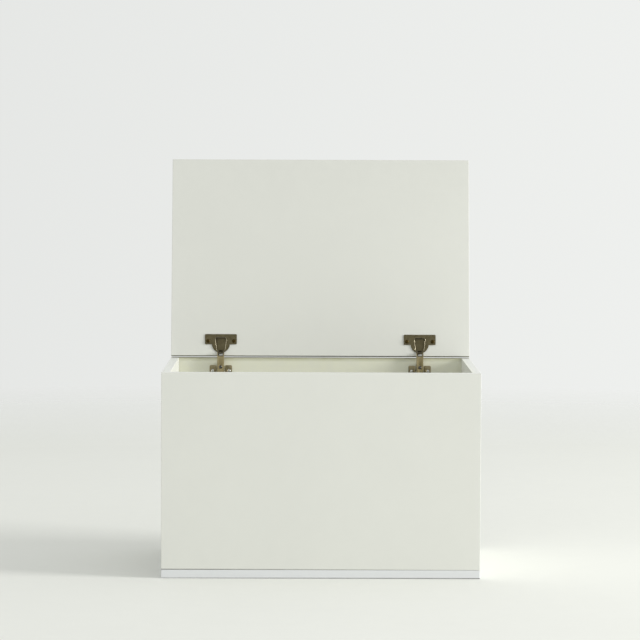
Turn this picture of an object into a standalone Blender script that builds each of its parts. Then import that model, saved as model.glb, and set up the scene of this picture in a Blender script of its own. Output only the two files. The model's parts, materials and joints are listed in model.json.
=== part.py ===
"""Storage bench: a box of 16 mm boards whose lid swings on two concealed cup hinges.

Metres, +Z up, front toward -Y. The origin is the centre of the base board's underside.
The rest pose is the open one, with the lid leaning back on the hinges' stop.
"""

from math import asin, atan2, cos, hypot, pi, radians, sin, sqrt

import bmesh
import bpy
from mathutils import Matrix, Vector

MM = 0.001

# Boards
WIDTH = 600 * MM
DEPTH = 400 * MM
WALL_HEIGHT = 372 * MM
BOARD = 16 * MM
ARRIS = 0.6 * MM
GAP = 0.3 * MM
ROUND = 16
HIDDEN_ROUND = 12

# Lid: the gap over the closed box, and where its lower inner edge stands when it is open
LID_GAP = 2.0 * MM
LID_LEAN = radians(10)
LID_OPEN_FROM_BACK = 18.5 * MM
LID_OPEN_RISE = 4.15 * MM

# Hinge position and the four-bar linkage
HINGE_INSET = 100 * MM
CUP_EDGE = 6.5 * MM
OUTER_PIN_IN_CUP = (3.7 * MM, -0.6 * MM)
INNER_PIN_IN_CUP = (4.3 * MM, -5.8 * MM)
OUTER_LINK_LENGTH = 20.5 * MM
INNER_LINK_LENGTH = 12.9 * MM
PIN_R = 0.9 * MM
PIN_CLEARANCE = 0.25 * MM
PIN_HOLD = 1.8 * MM
EYE_R = 1.9 * MM
LINK_HALF_THICKNESS = 0.9 * MM
INNER_LINK_HALF_WIDTH = 3.6 * MM
EAR_WIDTH = 1.3 * MM
OUTER_LINK_WEB = 7.0 * MM
FINGER = 0.7 * MM

# Cup and flange
CUP_R = 17.5 * MM
CUP_RIM = 0.5 * MM
CUP_DEPTH = 12.2 * MM
CUP_FLOOR = 0.8 * MM
POCKET_NEAR_WALL = 1.5 * MM
POCKET_FAR_WALL = 4.5 * MM
POCKET_WAIST = (3.5 * MM, 8.3 * MM)
POCKET_SHOULDER = (4.0 * MM, 11.2 * MM)
POCKET_FAR_HALF_WIDTH = 9.5 * MM
FLANGE_THICKNESS = 1.0 * MM
FLANGE_HALF_LENGTH = 32 * MM
FLANGE_BACK = 1.1 * MM
FLANGE_PAST_CUP = 2.0 * MM
FLANGE_CORNER = 1.8 * MM
FLANGE_SCREW_X = 26 * MM
FLANGE_SCREW_E = 5.5 * MM

# Arm and mounting plate
CHEEK = 1.3 * MM
ARM_WEB = 1.3 * MM
ARM_WEB_TOP = 4.0 * MM
ARM_BOTTOM = -50 * MM
ARM_REAR = 3.0 * MM
PLATE_THICKNESS = 2.0 * MM
PLATE_HALF_WIDTH = 22.5 * MM
PLATE_TONGUE = 6.5 * MM
PLATE_SLOT = (2.3 * MM, 16 * MM)
PLATE_TOP = -10 * MM
WING_TOP = -15 * MM
WING_BOTTOM = -36 * MM
RAIL_TOP = -12 * MM
RAIL_BOTTOM = -47 * MM
PLATE_SCREW_X = 16 * MM
PLATE_SCREW_Z = -26.5 * MM
SIDE_SCREW_Z = -17.5 * MM
ARM_SCREW_Z = -37 * MM

# Screws: shank radius, head radius, head height, length under the head
WOOD_SCREW = (1.7 * MM, 3.7 * MM, 1.6 * MM, 10.5 * MM)
MACHINE_SCREW = (2.0 * MM, 3.4 * MM, 1.4 * MM, 9.0 * MM)
BASE_SCREW = (2.0 * MM, 4.2 * MM, 3.0 * MM, 42 * MM)
BASE_SCREW_RECESS = 0.4 * MM

# Cam fittings between the side panels and the front and back panels
CAM_R = 7.4 * MM
CAM_DEPTH = 12.2 * MM
CAM_BACKSET = 24 * MM
CAM_FROM_END = 60 * MM
BOLT_THREAD_R = 2.5 * MM
BOLT_THREAD = 10 * MM
BOLT_R = 3.0 * MM

# Positions that follow from the sizes above
TOP = BOARD + WALL_HEIGHT
BACK_IN = DEPTH / 2 - BOARD
FRONT_IN = -BACK_IN
SIDE_IN = WIDTH / 2 - BOARD
SIDE_MID = WIDTH / 2 - BOARD / 2
HINGE_X = WIDTH / 2 - HINGE_INSET
LID_OPEN_FORWARD = LID_OPEN_FROM_BACK - BOARD
CUP_CENTRE = CUP_EDGE + CUP_R
CUP_RIM_R = CUP_R + CUP_RIM
POCKET_DEPTH = CUP_DEPTH - CUP_FLOOR
OUTER_PIN = (CUP_EDGE + OUTER_PIN_IN_CUP[0], OUTER_PIN_IN_CUP[1])
INNER_PIN = (CUP_EDGE + INNER_PIN_IN_CUP[0], INNER_PIN_IN_CUP[1])
OUTER_HALF_WIDTH = INNER_LINK_HALF_WIDTH + GAP + EAR_WIDTH
CHANNEL = OUTER_HALF_WIDTH + GAP
ARM_HALF_WIDTH = CHANNEL + CHEEK
RAIL_HALF_WIDTH = CHANNEL - GAP
PLATE_FRONT = GAP + PLATE_THICKNESS
FLANGE_FACE = GAP + FLANGE_THICKNESS


def material(name, color, roughness, metallic):
    mat = bpy.data.materials.new(name)
    mat.use_nodes = True
    shader = mat.node_tree.nodes["Principled BSDF"]
    shader.inputs["Base Color"].default_value = (*color, 1)
    shader.inputs["Roughness"].default_value = roughness
    shader.inputs["Metallic"].default_value = metallic
    mat.diffuse_color = (*color, 1)
    return mat


def lid_closed(e, n):
    """Section point (forward, up) of a lid point when the lid is closed."""
    return (e - BOARD, LID_GAP - n)


def lid_open(e, n):
    """Section point (forward, up) of a lid point when the lid leans back open."""
    s, c = sin(LID_LEAN), cos(LID_LEAN)
    return (LID_OPEN_FORWARD - s * e + c * n, LID_OPEN_RISE + c * e + s * n)


def in_open_lid(u, z):
    """The lid point (e, n) that stands at a section point when the lid is open."""
    s, c = sin(LID_LEAN), cos(LID_LEAN)
    du, dz = u - LID_OPEN_FORWARD, z - LID_OPEN_RISE
    return (c * dz - s * du, c * du + s * dz)


def arm_pivot(pin, length):
    """The fixed end of a link: as far from its cup pin in both end poses."""
    (u0, z0), (u1, z1) = lid_closed(*pin), lid_open(*pin)
    du, dz = u1 - u0, z1 - z0
    chord = hypot(du, dz)
    reach = sqrt(length * length - chord * chord / 4)
    return ((u0 + u1) / 2 + reach * dz / chord, (z0 + z1) / 2 - reach * du / chord)


def in_room(x, section):
    """World position of a section point beside the back panel's inner top edge."""
    return Vector((x, BACK_IN - section[0], TOP + section[1]))


def in_lid(x, e, n):
    """Lid position relative to the outer pins' axis, lid closed."""
    return Vector((x, OUTER_PIN[0] - e, OUTER_PIN[1] - n))


def rounded(points, radius, steps=3):
    """Rounds every corner of a polygon, each no further than its sides allow."""
    out = []
    count = len(points)
    for i, point in enumerate(points):
        here = Vector(point)
        before = Vector(points[i - 1]) - here
        after = Vector(points[(i + 1) % count]) - here
        half = before.angle(after) / 2
        back = min(radius / abs(sin(half) / cos(half)), 0.45 * before.length, 0.45 * after.length)
        a = here + before.normalized() * back
        b = here + after.normalized() * back
        for k in range(steps + 1):
            t = k / steps
            out.append(tuple(a * (1 - t) ** 2 + here * 2 * t * (1 - t) + b * t ** 2))
    return out


def arc(centre, radius, start, end, steps):
    turn = (end - start) / steps
    return [
        (centre[0] + radius * cos(start + turn * k), centre[1] + radius * sin(start + turn * k))
        for k in range(steps + 1)
    ]


def prism(points, low, high, axis="X"):
    """A polygon extruded from low to high along an axis; its points lie on the other two."""
    order = {"X": lambda a, b, h: (h, a, b), "Y": lambda a, b, h: (a, h, b),
             "Z": lambda a, b, h: (a, b, h)}[axis]
    bm = bmesh.new()
    face = bm.faces.new([bm.verts.new(order(a, b, low)) for a, b in points])
    grown = bmesh.ops.extrude_face_region(bm, geom=[face])
    moved = [item for item in grown["geom"] if isinstance(item, bmesh.types.BMVert)]
    bmesh.ops.translate(bm, verts=moved, vec=Vector(order(0, 0, high - low)))
    bmesh.ops.recalc_face_normals(bm, faces=bm.faces)
    return bm


def block(low, high):
    corners = [(low[0], low[1]), (high[0], low[1]), (high[0], high[1]), (low[0], high[1])]
    return prism(corners, low[2], high[2], "Z")


def turned(profile, segments):
    """A solid of revolution about +Z; the profile's first and last points are on the axis."""
    bm = bmesh.new()
    rings = []
    for radius, height in profile:
        if radius == 0:
            rings.append([bm.verts.new((0, 0, height))])
            continue
        rings.append([
            bm.verts.new((radius * cos(2 * pi * k / segments), radius * sin(2 * pi * k / segments), height))
            for k in range(segments)
        ])
    for low, high in zip(rings, rings[1:]):
        for k in range(segments):
            j = (k + 1) % segments
            corners = [low[k % len(low)], low[j % len(low)], high[j % len(high)], high[k % len(high)]]
            bm.faces.new(list(dict.fromkeys(corners)))
    bmesh.ops.recalc_face_normals(bm, faces=bm.faces)
    return bm


def rod(radius, low, high, segments):
    return turned([(0, low), (radius, low), (radius, high), (0, high)], segments)


def aimed(bm, place, facing):
    """Turns a shape's +Z to the facing direction and puts its origin at a place."""
    turn = Vector((0, 0, 1)).rotation_difference(Vector(facing)).to_matrix().to_4x4()
    bm.transform(Matrix.Translation(place) @ turn)
    return bm


def add(name, bm, mat, parent=None, smooth=False):
    mesh = bpy.data.meshes.new(name)
    bm.to_mesh(mesh)
    bm.free()
    mesh.materials.append(mat)
    if smooth:
        mesh.shade_smooth()
        mesh.set_sharp_from_angle(angle=radians(35))
    obj = bpy.data.objects.new(name, mesh)
    bpy.context.collection.objects.link(obj)
    obj.parent = parent
    return obj


def operand(target, shapes, name, operation="DIFFERENCE"):
    """Cuts hidden shapes out of a piece, or joins them to it, with one Boolean."""
    mesh = bpy.data.meshes.new(name)
    whole = bmesh.new()
    for shape in shapes:
        shape.to_mesh(mesh)
        shape.free()
        whole.from_mesh(mesh)
    whole.to_mesh(mesh)
    whole.free()
    tool = bpy.data.objects.new(name, mesh)
    bpy.context.collection.objects.link(tool)
    tool.parent = target.parent
    tool.hide_render = True
    tool.display_type = "WIRE"
    step = target.modifiers.new(name, "BOOLEAN")
    step.operation = operation
    step.solver = "EXACT"
    step.object = tool


def soften(obj):
    step = obj.modifiers.new("arris", "BEVEL")
    step.width = ARRIS
    step.segments = 2
    step.limit_method = "ANGLE"


def pan_screw(sizes):
    shank, head, height, length = sizes
    profile = [(0, -length), (shank * 0.4, -length), (shank, -length + 2 * shank), (shank, 0),
               (head, 0), (head, 0.35 * height), (0.75 * head, 0.85 * height), (0, height)]
    return turned(profile, ROUND)


def countersunk_screw(sizes):
    shank, head, height, length = sizes
    profile = [(0, -length), (shank * 0.4, -length), (shank, -length + 2 * shank), (shank, -height),
               (head, -0.1 * height), (head, 0), (0, 0)]
    return turned(profile, HIDDEN_ROUND)


def pilot(sizes):
    """Cutter for a screw: its shank with a clearance, from its tip to above its seat."""
    return rod(sizes[0] + GAP, -sizes[3] - GAP, 1 * MM, ROUND)


for old in list(bpy.data.objects):
    bpy.data.objects.remove(old, do_unlink=True)

MELAMINE = material("melamine_board", (0.70, 0.72, 0.64), 0.38, 0.0)
NICKEL = material("nickel_plated_steel", (0.30, 0.27, 0.20), 0.35, 1.0)
YELLOW_ZINC = material("yellow_zinc_steel", (0.45, 0.28, 0.12), 0.38, 1.0)
BRIGHT_ZINC = material("zinc_plated_steel", (0.55, 0.55, 0.53), 0.35, 1.0)
CAM_ZINC = material("die_cast_zinc", (0.42, 0.42, 0.40), 0.5, 1.0)

OUTER_AXIS = arm_pivot(OUTER_PIN, OUTER_LINK_LENGTH)
INNER_AXIS = arm_pivot(INNER_PIN, INNER_LINK_LENGTH)
OUTER_END = lid_open(*OUTER_PIN)
INNER_END = lid_open(*INNER_PIN)
ARM_FRONT = OUTER_AXIS[0] + EYE_R + GAP + ARM_WEB
RAIL_FRONT = ARM_FRONT - ARM_WEB - GAP


def pivot(name, section, turn=0.0):
    """An empty on a joint's axis, in the middle of the box's width."""
    empty = bpy.data.objects.new(name, None)
    empty.location = in_room(0, section)
    empty.rotation_euler = (turn, 0, 0)
    bpy.context.collection.objects.link(empty)
    return empty


OUTER_PIVOT = pivot("outer_link_axis", OUTER_AXIS)
INNER_PIVOT = pivot("inner_link_axis", INNER_AXIS)
LID_PIVOT = pivot("lid_axis", OUTER_END, -(pi / 2 + LID_LEAN))


def cam_heights():
    return (BOARD + CAM_FROM_END, TOP - CAM_FROM_END)


def base_screw_places():
    side_y = BACK_IN - HINGE_INSET / 2
    places = [(sx * SIDE_MID, sy * side_y) for sx in (-1, 1) for sy in (-1, 1)]
    return places + [(0, sy * (DEPTH - BOARD) / 2) for sy in (-1, 1)]


def base_pilots(where):
    """Pilot holes for those base screws that end in one wall."""
    reach = BASE_SCREW[3] + BASE_SCREW_RECESS + GAP
    return [
        aimed(rod(BASE_SCREW[0] + GAP, 0, reach, HIDDEN_ROUND), Vector((x, y, 0)), (0, 0, 1))
        for x, y in base_screw_places() if where(x, y)
    ]


def build_base():
    base = add("base_panel", block((-WIDTH / 2, -DEPTH / 2, 0), (WIDTH / 2, DEPTH / 2, BOARD)), MELAMINE)
    soften(base)
    shank, head, height, length = BASE_SCREW
    seat = BASE_SCREW_RECESS
    profile = [(0, -1 * MM), (head + GAP, -1 * MM), (head + GAP, seat + 0.1 * height + GAP),
               (shank + GAP, seat + height + GAP), (shank + GAP, BOARD + 1 * MM), (0, BOARD + 1 * MM)]
    holes = []
    for x, y in base_screw_places():
        holes.append(aimed(turned(profile, HIDDEN_ROUND), Vector((x, y, 0)), (0, 0, 1)))
    operand(base, holes, "base_screw_holes")
    for i, (x, y) in enumerate(base_screw_places()):
        shape = aimed(countersunk_screw(BASE_SCREW), Vector((x, y, seat)), (0, 0, -1))
        add("base_screw_%d" % (i + 1), shape, BRIGHT_ZINC, smooth=True)


def build_long_wall(name, side):
    """The front (-1) or back (+1) panel: full width, standing on the base."""
    outer, inner = side * DEPTH / 2, side * BACK_IN
    low, high = min(outer, inner), max(outer, inner)
    wall = add(name, block((-WIDTH / 2, low, BOARD + GAP), (WIDTH / 2, high, TOP)), MELAMINE)
    soften(wall)
    holes = base_pilots(lambda x, y: x == 0 and y * side > 0)
    for sx in (-1, 1):
        for z in cam_heights():
            bore = rod(BOLT_THREAD_R + GAP, -1 * MM, BOLT_THREAD + GAP, HIDDEN_ROUND)
            holes.append(aimed(bore, Vector((sx * SIDE_MID, inner, z)), (0, side, 0)))
    if side > 0:
        for hx in (-HINGE_X, HINGE_X):
            for sx in (-1, 1):
                seat = in_room(hx + sx * PLATE_SCREW_X, (PLATE_FRONT + GAP, PLATE_SCREW_Z))
                holes.append(aimed(pilot(WOOD_SCREW), seat, (0, -1, 0)))
    operand(wall, holes, name + "_bores")


def build_side(name, side):
    """A side panel between the long walls, with its four cams and their bolts."""
    inner, outer = side * SIDE_IN, side * WIDTH / 2
    low, high = min(inner, outer), max(inner, outer)
    reach = BACK_IN - GAP
    wall = add(name, block((low, -reach, BOARD + GAP), (high, reach, TOP)), MELAMINE)
    soften(wall)
    pockets = base_pilots(lambda x, y: x * side > 0)
    tunnels = []
    label = "left" if side < 0 else "right"
    for end, wall_end in (("front", -1), ("back", 1)):
        for level, z in zip(("low", "high"), cam_heights()):
            centre = Vector((inner, wall_end * (BACK_IN - CAM_BACKSET), z))
            pocket = rod(CAM_R + GAP, -1 * MM, CAM_DEPTH + 2 * GAP, 24)
            pockets.append(aimed(pocket, centre, (side, 0, 0)))
            mouth = Vector((side * SIDE_MID, wall_end * BACK_IN, z))
            tunnel = rod(BOLT_R + GAP, -1 * MM, CAM_BACKSET, HIDDEN_ROUND)
            tunnels.append(aimed(tunnel, mouth, (0, -wall_end, 0)))
            name_end = "%s_%s_%s" % (label, end, level)
            cam = add("cam_" + name_end, aimed(rod(CAM_R, GAP, CAM_DEPTH + GAP, 24), centre, (side, 0, 0)),
                      CAM_ZINC, smooth=True)
            slot = rod(BOLT_R + GAP, -1 * MM, CAM_BACKSET + BOLT_R, HIDDEN_ROUND)
            slot = aimed(slot, mouth, (0, -wall_end, 0))
            operand(cam, [slot], "cam_slot_" + name_end)
            tip = CAM_BACKSET - GAP
            profile = [(0, -BOLT_THREAD), (BOLT_THREAD_R, -BOLT_THREAD), (BOLT_THREAD_R, -GAP),
                       (BOLT_R, GAP), (BOLT_R, tip - 9 * MM), (0.6 * BOLT_R, tip - 8 * MM),
                       (0.6 * BOLT_R, tip - 4 * MM), (BOLT_R, tip - 3 * MM), (BOLT_R, tip - 1 * MM), (0, tip)]
            add("cam_bolt_" + name_end, aimed(turned(profile, HIDDEN_ROUND), mouth, (0, -wall_end, 0)),
                BRIGHT_ZINC, smooth=True)
    operand(wall, pockets, name + "_pockets")
    operand(wall, tunnels, name + "_bolt_bores")


def flange_outline():
    """Rim circle with the screw wings on its far side, as (x, e) points."""
    start = asin(-FLANGE_BACK / CUP_RIM_R)
    rim = arc((0, CUP_CENTRE), CUP_RIM_R, pi - start, 2 * pi + start, 36)
    back, front = CUP_CENTRE - FLANGE_BACK, CUP_CENTRE + CUP_R + FLANGE_PAST_CUP
    half = FLANGE_HALF_LENGTH
    corner = FLANGE_CORNER
    wing = []
    for cx, cy, a in ((half - corner, back + corner, -pi / 2), (half - corner, front - corner, 0),
                      (corner - half, front - corner, pi / 2), (corner - half, back + corner, pi)):
        wing += arc((cx, cy), corner, a, a + pi / 2, 4)
    return rim + wing


def pocket_sides():
    """One side of the cup's opening as (half width, e): narrow at the lid's edge, then wide."""
    near, far = CUP_EDGE + POCKET_NEAR_WALL, CUP_EDGE + 2 * CUP_R - POCKET_FAR_WALL
    waist, shoulder = POCKET_WAIST, POCKET_SHOULDER
    return [(OUTER_HALF_WIDTH + 2 * GAP, near), (max(waist[1], ARM_HALF_WIDTH), near + waist[0]),
            (shoulder[1], far - shoulder[0]), (POCKET_FAR_HALF_WIDTH, far)]


def pin_reach(e):
    """Half the length of a cup pin: into the pocket's walls on both sides."""
    sides = pocket_sides()
    for (w0, e0), (w1, e1) in zip(sides, sides[1:]):
        if e <= e1:
            return w0 + (w1 - w0) * (e - e0) / (e1 - e0) + PIN_HOLD


def lid_shape(points, n_low, n_high):
    """A prism in the lid: (x, e) points, between two levels out of the lid's inner face."""
    flat = [(x, OUTER_PIN[0] - e) for x, e in points]
    return prism(flat, OUTER_PIN[1] - n_high, OUTER_PIN[1] - n_low, "Z")


def shifted(bm, x):
    bmesh.ops.translate(bm, verts=bm.verts, vec=(x, 0, 0))
    return bm


def under_link(e):
    """The depth in the lid that clears the open inner link at e."""
    (arm_e, arm_n), (pin_e, pin_n) = in_open_lid(*INNER_AXIS), INNER_PIN
    slope = (pin_n - arm_n) / (pin_e - arm_e)
    return arm_n + slope * (e - arm_e) - (LINK_HALF_THICKNESS + GAP) * hypot(1, slope)


def cup_screw_seats(hx):
    e = CUP_CENTRE + FLANGE_SCREW_E
    return [in_lid(hx + sx * FLANGE_SCREW_X, e, FLANGE_FACE + GAP) for sx in (-1, 1)]


def build_lid():
    corners = [(-WIDTH / 2, 0), (WIDTH / 2, 0), (WIDTH / 2, DEPTH), (-WIDTH / 2, DEPTH)]
    lid = add("lid_panel", lid_shape(corners, -BOARD, 0), MELAMINE, LID_PIVOT)
    soften(lid)
    holes = []
    for hx in (-HINGE_X, HINGE_X):
        bore = rod(CUP_R + GAP, -1 * MM, CUP_DEPTH + GAP, 64)
        holes.append(aimed(bore, in_lid(hx, CUP_CENTRE, 0), (0, 0, 1)))
        holes += [aimed(pilot(WOOD_SCREW), seat, (0, 0, -1)) for seat in cup_screw_seats(hx)]
    operand(lid, holes, "lid_bores")


def build_cup(label, hx):
    cup = add("cup_" + label, shifted(lid_shape(flange_outline(), GAP, FLANGE_FACE), hx), NICKEL,
              LID_PIVOT, smooth=True)
    bowl = aimed(rod(CUP_R, -GAP - FLANGE_THICKNESS / 2, CUP_DEPTH, 48), in_lid(hx, CUP_CENTRE, 0), (0, 0, 1))
    operand(cup, [bowl], "cup_bowl_" + label, "UNION")
    sides = pocket_sides()
    pocket = rounded(sides + [(-x, e) for x, e in reversed(sides)], 1.5 * MM, 2)
    openings = [shifted(lid_shape(pocket, -POCKET_DEPTH, FLANGE_FACE + 1 * MM), hx)]
    for seat in cup_screw_seats(hx):
        openings.append(aimed(pilot(WOOD_SCREW), seat, (0, 0, -1)))
    operand(cup, openings, "cup_pocket_" + label)
    bores = []
    outer_reach, inner_reach = pin_reach(OUTER_PIN[0]), pin_reach(INNER_PIN[0])
    for pin, reach in ((OUTER_PIN, outer_reach), (INNER_PIN, inner_reach)):
        bore = rod(PIN_R + PIN_CLEARANCE, -reach - PIN_CLEARANCE, reach + PIN_CLEARANCE, ROUND)
        bores.append(aimed(bore, in_lid(hx, *pin), (1, 0, 0)))
    pin = aimed(rod(PIN_R, -inner_reach, inner_reach, ROUND), in_lid(hx, *INNER_PIN), (1, 0, 0))
    add("cup_pin_inner_" + label, pin, BRIGHT_ZINC, LID_PIVOT, smooth=True)
    for i, side in enumerate((-1, 1)):
        stub = rod(PIN_R, INNER_LINK_HALF_WIDTH + GAP, outer_reach, ROUND)
        add("cup_pin_outer_%s_%d" % (label, i + 1), aimed(stub, in_lid(hx, *OUTER_PIN), (side, 0, 0)),
            BRIGHT_ZINC, LID_PIVOT, smooth=True)
    half, near = OUTER_HALF_WIDTH + GAP, CUP_EDGE
    past = near + POCKET_NEAR_WALL + 0.2 * MM
    notch = [(-half, near - 1 * MM), (half, near - 1 * MM), (half, past), (-half, past)]
    bores.append(shifted(lid_shape(notch, under_link(past), FLANGE_FACE + 1 * MM), hx))
    operand(cup, bores, "cup_bores_" + label)
    for i, seat in enumerate(cup_screw_seats(hx)):
        shape = aimed(pan_screw(WOOD_SCREW), seat, (0, 0, -1))
        add("cup_screw_%s_%d" % (label, i + 1), shape, YELLOW_ZINC, LID_PIVOT, smooth=True)


def link_frame(start, end):
    """Maps (along, across) of a link to its (Y, Z) about its arm pin."""
    angle = atan2(end[1] - start[1], end[0] - start[0])

    def place(points):
        out = []
        for along, across in points:
            u = along * cos(angle) - across * sin(angle)
            z = along * sin(angle) + across * cos(angle)
            out.append((-u, z))
        return out

    return place


def build_outer_link(label, hx):
    """Two ears on the pins, tied by a web beside the arm pin."""
    place = link_frame(OUTER_AXIS, OUTER_END)
    length, thick = OUTER_LINK_LENGTH, LINK_HALF_THICKNESS
    side = asin(thick / EYE_R)
    outline = arc((0, 0), EYE_R, side, 2 * pi - side, 14)
    outline += arc((length, 0), EYE_R, -pi + side, pi - side, 14)
    half = OUTER_HALF_WIDTH
    link = add("outer_link_" + label, shifted(prism(place(outline), -half, half), hx), NICKEL,
               OUTER_PIVOT, smooth=True)
    between = INNER_LINK_HALF_WIDTH + GAP
    far, wide = length + 2 * EYE_R, 2 * EYE_R
    window = [(OUTER_LINK_WEB, -wide), (far, -wide), (far, wide), (OUTER_LINK_WEB, wide)]
    operand(link, [shifted(prism(place(window), -between, between), hx)], "outer_link_window_" + label)
    bores = []
    for along in (0, length):
        hole = arc((along, 0), PIN_R + PIN_CLEARANCE, 0, 2 * pi, ROUND)[:-1]
        bores.append(shifted(prism(place(hole), -half - 1 * MM, half + 1 * MM), hx))
    operand(link, bores, "outer_link_bores_" + label)


def build_inner_link(label, hx):
    """An eye on the arm pin and, at the cup pin, a seat with one finger, open past the pin."""
    place = link_frame(INNER_AXIS, INNER_END)
    length, seat, thick = INNER_LINK_LENGTH, PIN_R + PIN_CLEARANCE, LINK_HALF_THICKNESS
    side = asin(thick / EYE_R)
    outline = arc((0, 0), EYE_R, side, 2 * pi - side, 14)
    outline += arc((length, 0), seat, 5 * pi / 4, pi / 3, 6)
    outline += arc((length, 0), seat + FINGER, pi / 3, 2 * pi / 3, 4)
    outline.append((length - seat - 2 * FINGER, thick))
    half = INNER_LINK_HALF_WIDTH
    link = add("inner_link_" + label, shifted(prism(place(outline), -half, half), hx), NICKEL,
               INNER_PIVOT, smooth=True)
    hole = arc((0, 0), PIN_R + PIN_CLEARANCE, 0, 2 * pi, ROUND)[:-1]
    bore = shifted(prism(place(hole), -half - 1 * MM, half + 1 * MM), hx)
    operand(link, [bore], "inner_link_bore_" + label)


def section_prism(points, low, high):
    """A prism along X from (forward, up) section points."""
    return prism([(BACK_IN - u, TOP + z) for u, z in points], low, high)


def build_arm(label, hx):
    """A channel over the plate's rail whose cheeks reach up to the two arm pins."""
    nose = EYE_R
    oz, (iu, iz) = OUTER_AXIS[1], INNER_AXIS
    outline = [(ARM_REAR, ARM_BOTTOM), (ARM_REAR, RAIL_TOP), (iu - nose, oz - 3 * MM)]
    outline += arc((iu, iz), nose, pi, pi / 4, 8)
    outline += [(ARM_FRONT, ARM_WEB_TOP + 1 * MM), (ARM_FRONT, ARM_BOTTOM + 2 * MM)]
    outline.append((ARM_FRONT - 2 * MM, ARM_BOTTOM))
    arm = add("arm_" + label, section_prism(outline, hx - ARM_HALF_WIDTH, hx + ARM_HALF_WIDTH), NICKEL,
              smooth=True)
    web = ARM_FRONT - ARM_WEB
    low, high = ARM_BOTTOM - 5 * MM, iz + 5 * MM
    past = ARM_FRONT + 4 * MM
    channel = [(0, low), (web, low), (web, ARM_WEB_TOP), (past, ARM_WEB_TOP), (past, high), (0, high)]
    operand(arm, [section_prism(channel, hx - CHANNEL, hx + CHANNEL)], "arm_channel_" + label)
    holes = []
    for z in (SIDE_SCREW_Z, ARM_SCREW_Z):
        seat = in_room(hx, (ARM_FRONT + GAP, z))
        holes.append(aimed(pilot(MACHINE_SCREW), seat, (0, -1, 0)))
    for pin_name, axis in (("outer", OUTER_AXIS), ("inner", INNER_AXIS)):
        centre = in_room(hx, axis)
        reach = ARM_HALF_WIDTH + 1 * MM
        holes.append(aimed(rod(PIN_R + PIN_CLEARANCE, -reach, reach, ROUND), centre, (1, 0, 0)))
        pin = aimed(rod(PIN_R, -ARM_HALF_WIDTH, ARM_HALF_WIDTH, ROUND), centre, (1, 0, 0))
        add("arm_pin_%s_%s" % (pin_name, label), pin, BRIGHT_ZINC, smooth=True)
    operand(arm, holes, "arm_bores_" + label)
    for screw_name, z in (("side_screw_", SIDE_SCREW_Z), ("arm_screw_", ARM_SCREW_Z)):
        shape = aimed(pan_screw(MACHINE_SCREW), in_room(hx, (ARM_FRONT + GAP, z)), (0, -1, 0))
        add(screw_name + label, shape, BRIGHT_ZINC, smooth=True)


def build_plate(label, hx):
    """The mounting plate: a tongue under the arm with a rail inside it, and a slotted wing per side."""
    tongue, wing = PLATE_TONGUE, PLATE_HALF_WIDTH
    slot_side, slot_end = tongue + PLATE_SLOT[0], WING_TOP - PLATE_SLOT[1]
    half = [(tongue, PLATE_TOP), (tongue, slot_end), (slot_side, slot_end), (slot_side, WING_TOP),
            (wing, WING_TOP), (wing, WING_BOTTOM), (tongue, WING_BOTTOM), (tongue, ARM_BOTTOM)]
    flat = rounded(half + [(-x, z) for x, z in reversed(half)], 2.5 * MM)
    shape = prism([(hx + x, TOP + z) for x, z in flat], BACK_IN - PLATE_FRONT, BACK_IN - GAP, "Y")
    plate = add("mounting_plate_" + label, shape, NICKEL, smooth=True)
    rail = block((hx - RAIL_HALF_WIDTH, BACK_IN - RAIL_FRONT, TOP + RAIL_BOTTOM),
                 (hx + RAIL_HALF_WIDTH, BACK_IN - GAP - PLATE_THICKNESS / 2, TOP + RAIL_TOP))
    operand(plate, [rail], "plate_rail_" + label, "UNION")
    seats = [in_room(hx + sx * PLATE_SCREW_X, (PLATE_FRONT + GAP, PLATE_SCREW_Z)) for sx in (-1, 1)]
    holes = [aimed(pilot(WOOD_SCREW), seat, (0, -1, 0)) for seat in seats]
    for z in (SIDE_SCREW_Z, ARM_SCREW_Z):
        holes.append(aimed(pilot(MACHINE_SCREW), in_room(hx, (ARM_FRONT + GAP, z)), (0, -1, 0)))
    operand(plate, holes, "plate_bores_" + label)
    for i, seat in enumerate(seats):
        add("plate_screw_%s_%d" % (label, i + 1), aimed(pan_screw(WOOD_SCREW), seat, (0, -1, 0)),
            BRIGHT_ZINC, smooth=True)


build_base()
build_long_wall("front_panel", -1)
build_long_wall("back_panel", 1)
build_side("left_side_panel", -1)
build_side("right_side_panel", 1)
build_lid()
for hinge_label, hinge_x in (("left", -HINGE_X), ("right", HINGE_X)):
    build_cup(hinge_label, hinge_x)
    build_outer_link(hinge_label, hinge_x)
    build_inner_link(hinge_label, hinge_x)
    build_arm(hinge_label, hinge_x)
    build_plate(hinge_label, hinge_x)
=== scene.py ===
# %% [markdown]
# # A storage bench of white melamine board
#
# The bench is a box of 16 mm boards with a flat lid. Two concealed cup hinges carry
# the lid, and here it leans back open, so the hinges show. The boards are plain
# shapes, so this lesson spends its effort on three things: the finish of the boards,
# the pressed steel of the hinges, and the screws and cams that hold it together.
#
# The frame is the measured model. Every piece made here takes its place from it.

# %% Load the frame
import json
from math import atan, cos, pi, radians, sin

import bmesh
import bpy
from mathutils import Matrix, Quaternion, Vector


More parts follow.
